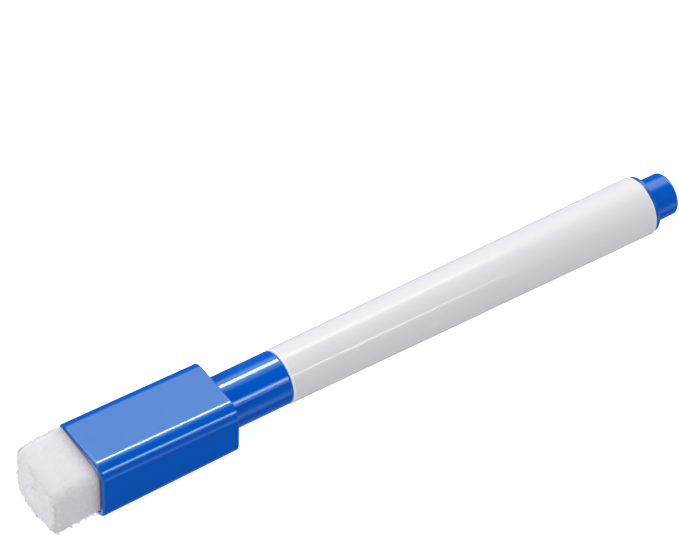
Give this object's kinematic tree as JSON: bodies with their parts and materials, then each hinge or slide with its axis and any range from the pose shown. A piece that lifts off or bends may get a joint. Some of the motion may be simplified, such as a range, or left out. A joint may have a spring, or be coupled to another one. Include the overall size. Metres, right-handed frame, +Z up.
{
  "type": "whiteboard marker",
  "caption": "Slim whiteboard marker with a tapered round barrel, a pull-off cap whose square socket holds a felt eraser block, and a knobbed tail plug.",
  "frame": {"origin": "under the middle of the marker, on the surface it lies on, midway between the felt's end face and the tail knob's end", "axes": "+X along the pen axis from the eraser end to the tail plug; +Z up, square to the wide flat sides of the eraser socket; +Y across the socket's width"},
  "size_m": [0.115, 0.0126, 0.0111],
  "materials": {
    "cap_blue": "glossy blue moulding",
    "plug_blue": "glossy blue moulding",
    "barrel_white": "semi-gloss white moulding",
    "felt_white": "white wool-like felt",
    "section_grey": "satin light grey moulding",
    "liner_white": "satin natural white moulding",
    "nib_blue": "ink-soaked fibre",
    "fibre_blue": "ink-soaked fibre",
    "film_clear": "clear film"
  },
  "bodies": {
    "pen": {"barrel": "barrel_white", "nib_holder": "section_grey", "nib": "nib_blue", "ink_reservoir": "fibre_blue", "reservoir_film": "film_clear", "tail_plug": "plug_blue"},
    "liner": {"cap_liner": "liner_white"},
    "cap": {"cap_shell": "cap_blue", "eraser_felt": "felt_white"}
  },
  "joints": [
    {"name": "cap_pull", "type": "slide", "parent": "pen", "child": "liner", "axis": [-1, 0, 0], "range_m": [0, 0.035]},
    {"name": "cap_turn", "type": "hinge", "parent": "liner", "child": "cap", "pos_m": [-0.02221, 0, 0.00555], "axis": [1, 0, 0], "continuous": true}
  ]
}
